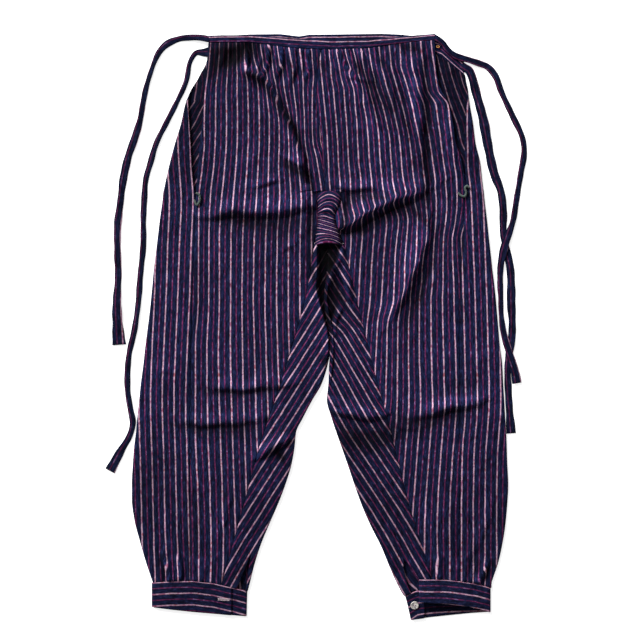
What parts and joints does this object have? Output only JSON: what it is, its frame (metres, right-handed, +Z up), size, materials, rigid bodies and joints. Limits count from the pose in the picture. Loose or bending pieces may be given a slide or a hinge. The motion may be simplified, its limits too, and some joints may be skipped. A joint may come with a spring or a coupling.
{
  "type": "monpe work trousers",
  "caption": "Loose gathered work trousers with wrapped side openings, waist ties, inner-leg gussets, a crotch strip and buttoned ankle cuffs, laid flat with the front up.",
  "frame": {"origin": "centre of the flat underside of the box round the laid garment, on the surface it lies on", "axes": "+X to the side of the cuff with the button, +Y from the ankles to the waist, +Z up from the surface"},
  "size_m": [0.6645, 0.9222, 0.0177],
  "materials": {
    "striped_cotton": "matte plain-weave indigo cotton with pale pink and flecked magenta stripes",
    "striped_band": "the same cotton, folded, with its stripes along the band",
    "striped_tie": "the same cotton, folded and stitched into narrow ties",
    "green_thread": "thick dark green cotton thread",
    "pearl_button": "greyish pearl with a soft gloss"
  },
  "bodies": {
    "root": {"front_left": "striped_cotton", "front_right": "striped_cotton", "back_left": "striped_cotton", "back_right": "striped_cotton", "gusset_left": "striped_cotton", "gusset_right": "striped_cotton", "crotch_strip": "striped_cotton", "front_waistband": "striped_band", "back_waistband": "striped_band", "tie_front_left": "striped_tie", "tie_back_left": "striped_tie", "tie_front_right": "striped_tie", "tie_back_right": "striped_tie", "cuff_left": "striped_band", "cuff_right": "striped_band", "tack_left": "green_thread", "tack_right": "green_thread", "button_right": "pearl_button"}
  },
  "joints": []
}
